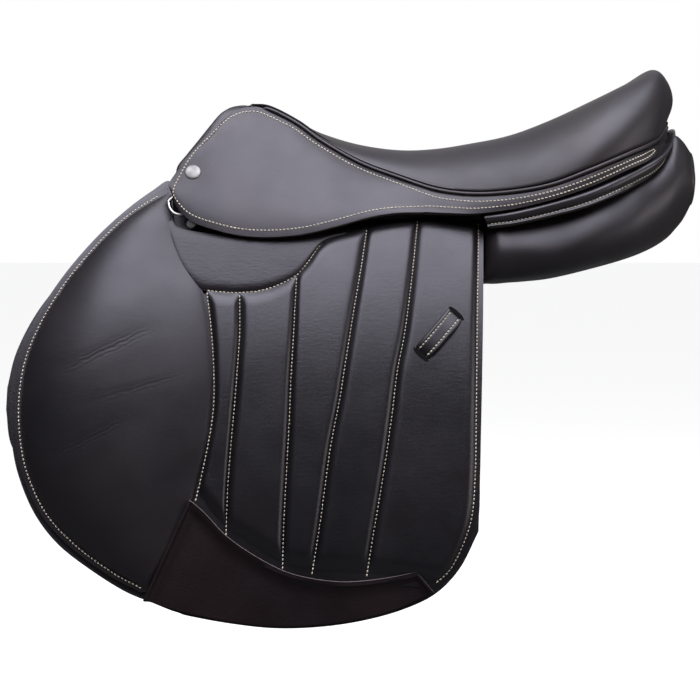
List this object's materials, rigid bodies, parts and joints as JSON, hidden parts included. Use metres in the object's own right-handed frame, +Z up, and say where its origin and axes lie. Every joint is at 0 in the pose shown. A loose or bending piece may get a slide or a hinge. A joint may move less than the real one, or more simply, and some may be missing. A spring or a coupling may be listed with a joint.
{
  "type": "jumping saddle",
  "caption": "Leather jumping saddle with deep padded seat, forward-cut flaps with stuffed knee rolls and sewn quilting, skirts over the stirrup bars, girth straps and panels.",
  "frame": {"origin": "in the centre plane, below the lowest point of the seat, level with the panels' lower edge there", "axes": "+X back to the cantle, +Y to the off (right) side, +Z up; the near (left) side is -Y"},
  "size_m": [0.613, 0.4364, 0.4851],
  "materials": {
    "dark_leather": "waxed, low sheen",
    "seat_leather": "smooth, polished by use",
    "wear_leather": "smooth, reddish, low sheen",
    "strap_leather": "matt bridle leather",
    "foam": "open foam, pale",
    "webbing": "woven, undyed",
    "beech": "sealed laminate",
    "steel": "forged, ground",
    "nickel": "polished",
    "point_plastic": "moulded, dark"
  },
  "bodies": {
    "tree": {"tree_frame": "beech", "head_plate": "steel", "gullet_plate": "steel", "plate_rivet_1": "steel", "plate_rivet_2": "steel", "plate_rivet_3": "steel", "plate_rivet_4": "steel", "plate_rivet_5": "steel", "plate_rivet_6": "steel", "seat_webbing": "webbing", "girth_web_front": "webbing", "girth_web_rear": "webbing", "seat_foam": "foam", "seat_cover": "seat_leather", "seat_welt": "dark_leather", "pommel_facing": "dark_leather", "rear_facing": "dark_leather", "stirrup_bar_left": "steel", "catch_pin_left": "steel", "tree_point_left": "point_plastic", "skirt_left": "dark_leather", "sweat_flap_left": "dark_leather", "panel_left": "dark_leather", "dee_tab_left": "strap_leather", "saddle_nail_left": "nickel", "point_stud_left": "nickel", "stirrup_bar_right": "steel", "catch_pin_right": "steel", "tree_point_right": "point_plastic", "skirt_right": "dark_leather", "sweat_flap_right": "dark_leather", "panel_right": "dark_leather", "dee_tab_right": "strap_leather", "saddle_nail_right": "nickel", "point_stud_right": "nickel"},
    "flap_left": {"flap_left": "dark_leather", "knee_roll_left": "dark_leather", "flap_quilt_left": "dark_leather", "flap_patch_left": "wear_leather", "strap_keeper_left": "strap_leather"},
    "skirt_lip_left": {"skirt_lip_left": "dark_leather"},
    "billet_front_left": {"billet_front_left": "strap_leather"},
    "billet_middle_left": {"billet_middle_left": "strap_leather"},
    "billet_rear_left": {"billet_rear_left": "strap_leather"},
    "stirrup_catch_left": {"stirrup_catch_left": "steel"},
    "dee_left": {"dee_ring_left": "nickel"},
    "flap_right": {"flap_right": "dark_leather", "knee_roll_right": "dark_leather", "flap_quilt_right": "dark_leather", "flap_patch_right": "wear_leather", "strap_keeper_right": "strap_leather"},
    "skirt_lip_right": {"skirt_lip_right": "dark_leather"},
    "billet_front_right": {"billet_front_right": "strap_leather"},
    "billet_middle_right": {"billet_middle_right": "strap_leather"},
    "billet_rear_right": {"billet_rear_right": "strap_leather"},
    "stirrup_catch_right": {"stirrup_catch_right": "steel"},
    "dee_right": {"dee_ring_right": "nickel"}
  },
  "joints": [
    {"name": "flap_lift_left", "type": "hinge", "parent": "tree", "child": "flap_left", "pos_m": [-0.213, -0.084, 0.099], "axis": [-0.9905, 0.0825, 0.1101], "range_deg": [0, 65]},
    {"name": "skirt_lip_lift_left", "type": "hinge", "parent": "flap_left", "child": "skirt_lip_left", "pos_m": [-0.213, -0.084, 0.099], "axis": [-0.9905, 0.0825, 0.1101], "range_deg": [0, 65]},
    {"name": "billet_front_lift_left", "type": "hinge", "parent": "tree", "child": "billet_front_left", "pos_m": [-0.034, -0.095, 0.049], "axis": [-1, 0, 0], "range_deg": [0, 32.5]},
    {"name": "billet_middle_lift_left", "type": "hinge", "parent": "tree", "child": "billet_middle_left", "pos_m": [-0.003, -0.095, 0.049], "axis": [-1, 0, 0], "range_deg": [0, 32.5]},
    {"name": "billet_rear_lift_left", "type": "hinge", "parent": "tree", "child": "billet_rear_left", "pos_m": [0.0235, -0.095, 0.049], "axis": [-1, 0, 0], "range_deg": [0, 32.5]},
    {"name": "stirrup_catch_turn_left", "type": "hinge", "parent": "tree", "child": "stirrup_catch_left", "pos_m": [-0.072, -0.09, 0.0655], "axis": [0, -1, 0], "range_deg": [0, 80]},
    {"name": "dee_swing_left", "type": "hinge", "parent": "tree", "child": "dee_left", "pos_m": [-0.199, -0.0815, 0.087], "axis": [0, 1, 0], "range_deg": [-12, 12]},
    {"name": "flap_lift_right", "type": "hinge", "parent": "tree", "child": "flap_right", "pos_m": [-0.213, 0.084, 0.099], "axis": [0.9905, 0.0825, -0.1101], "range_deg": [0, 65]},
    {"name": "skirt_lip_lift_right", "type": "hinge", "parent": "flap_right", "child": "skirt_lip_right", "pos_m": [-0.213, 0.084, 0.099], "axis": [0.9905, 0.0825, -0.1101], "range_deg": [0, 65]},
    {"name": "billet_front_lift_right", "type": "hinge", "parent": "tree", "child": "billet_front_right", "pos_m": [-0.034, 0.095, 0.049], "axis": [1, 0, 0], "range_deg": [0, 32.5]},
    {"name": "billet_middle_lift_right", "type": "hinge", "parent": "tree", "child": "billet_middle_right", "pos_m": [-0.003, 0.095, 0.049], "axis": [1, 0, 0], "range_deg": [0, 32.5]},
    {"name": "billet_rear_lift_right", "type": "hinge", "parent": "tree", "child": "billet_rear_right", "pos_m": [0.0235, 0.095, 0.049], "axis": [1, 0, 0], "range_deg": [0, 32.5]},
    {"name": "stirrup_catch_turn_right", "type": "hinge", "parent": "tree", "child": "stirrup_catch_right", "pos_m": [-0.072, 0.09, 0.0655], "axis": [0, -1, 0], "range_deg": [0, 80]},
    {"name": "dee_swing_right", "type": "hinge", "parent": "tree", "child": "dee_right", "pos_m": [-0.199, 0.0815, 0.087], "axis": [0, 1, 0], "range_deg": [-12, 12]}
  ],
  "couplings": [
    {"joint": "billet_front_lift_left", "follows": "flap_lift_left", "ratio": 0.5},
    {"joint": "billet_middle_lift_left", "follows": "flap_lift_left", "ratio": 0.5},
    {"joint": "billet_rear_lift_left", "follows": "flap_lift_left", "ratio": 0.5},
    {"joint": "billet_front_lift_right", "follows": "flap_lift_right", "ratio": 0.5},
    {"joint": "billet_middle_lift_right", "follows": "flap_lift_right", "ratio": 0.5},
    {"joint": "billet_rear_lift_right", "follows": "flap_lift_right", "ratio": 0.5}
  ]
}
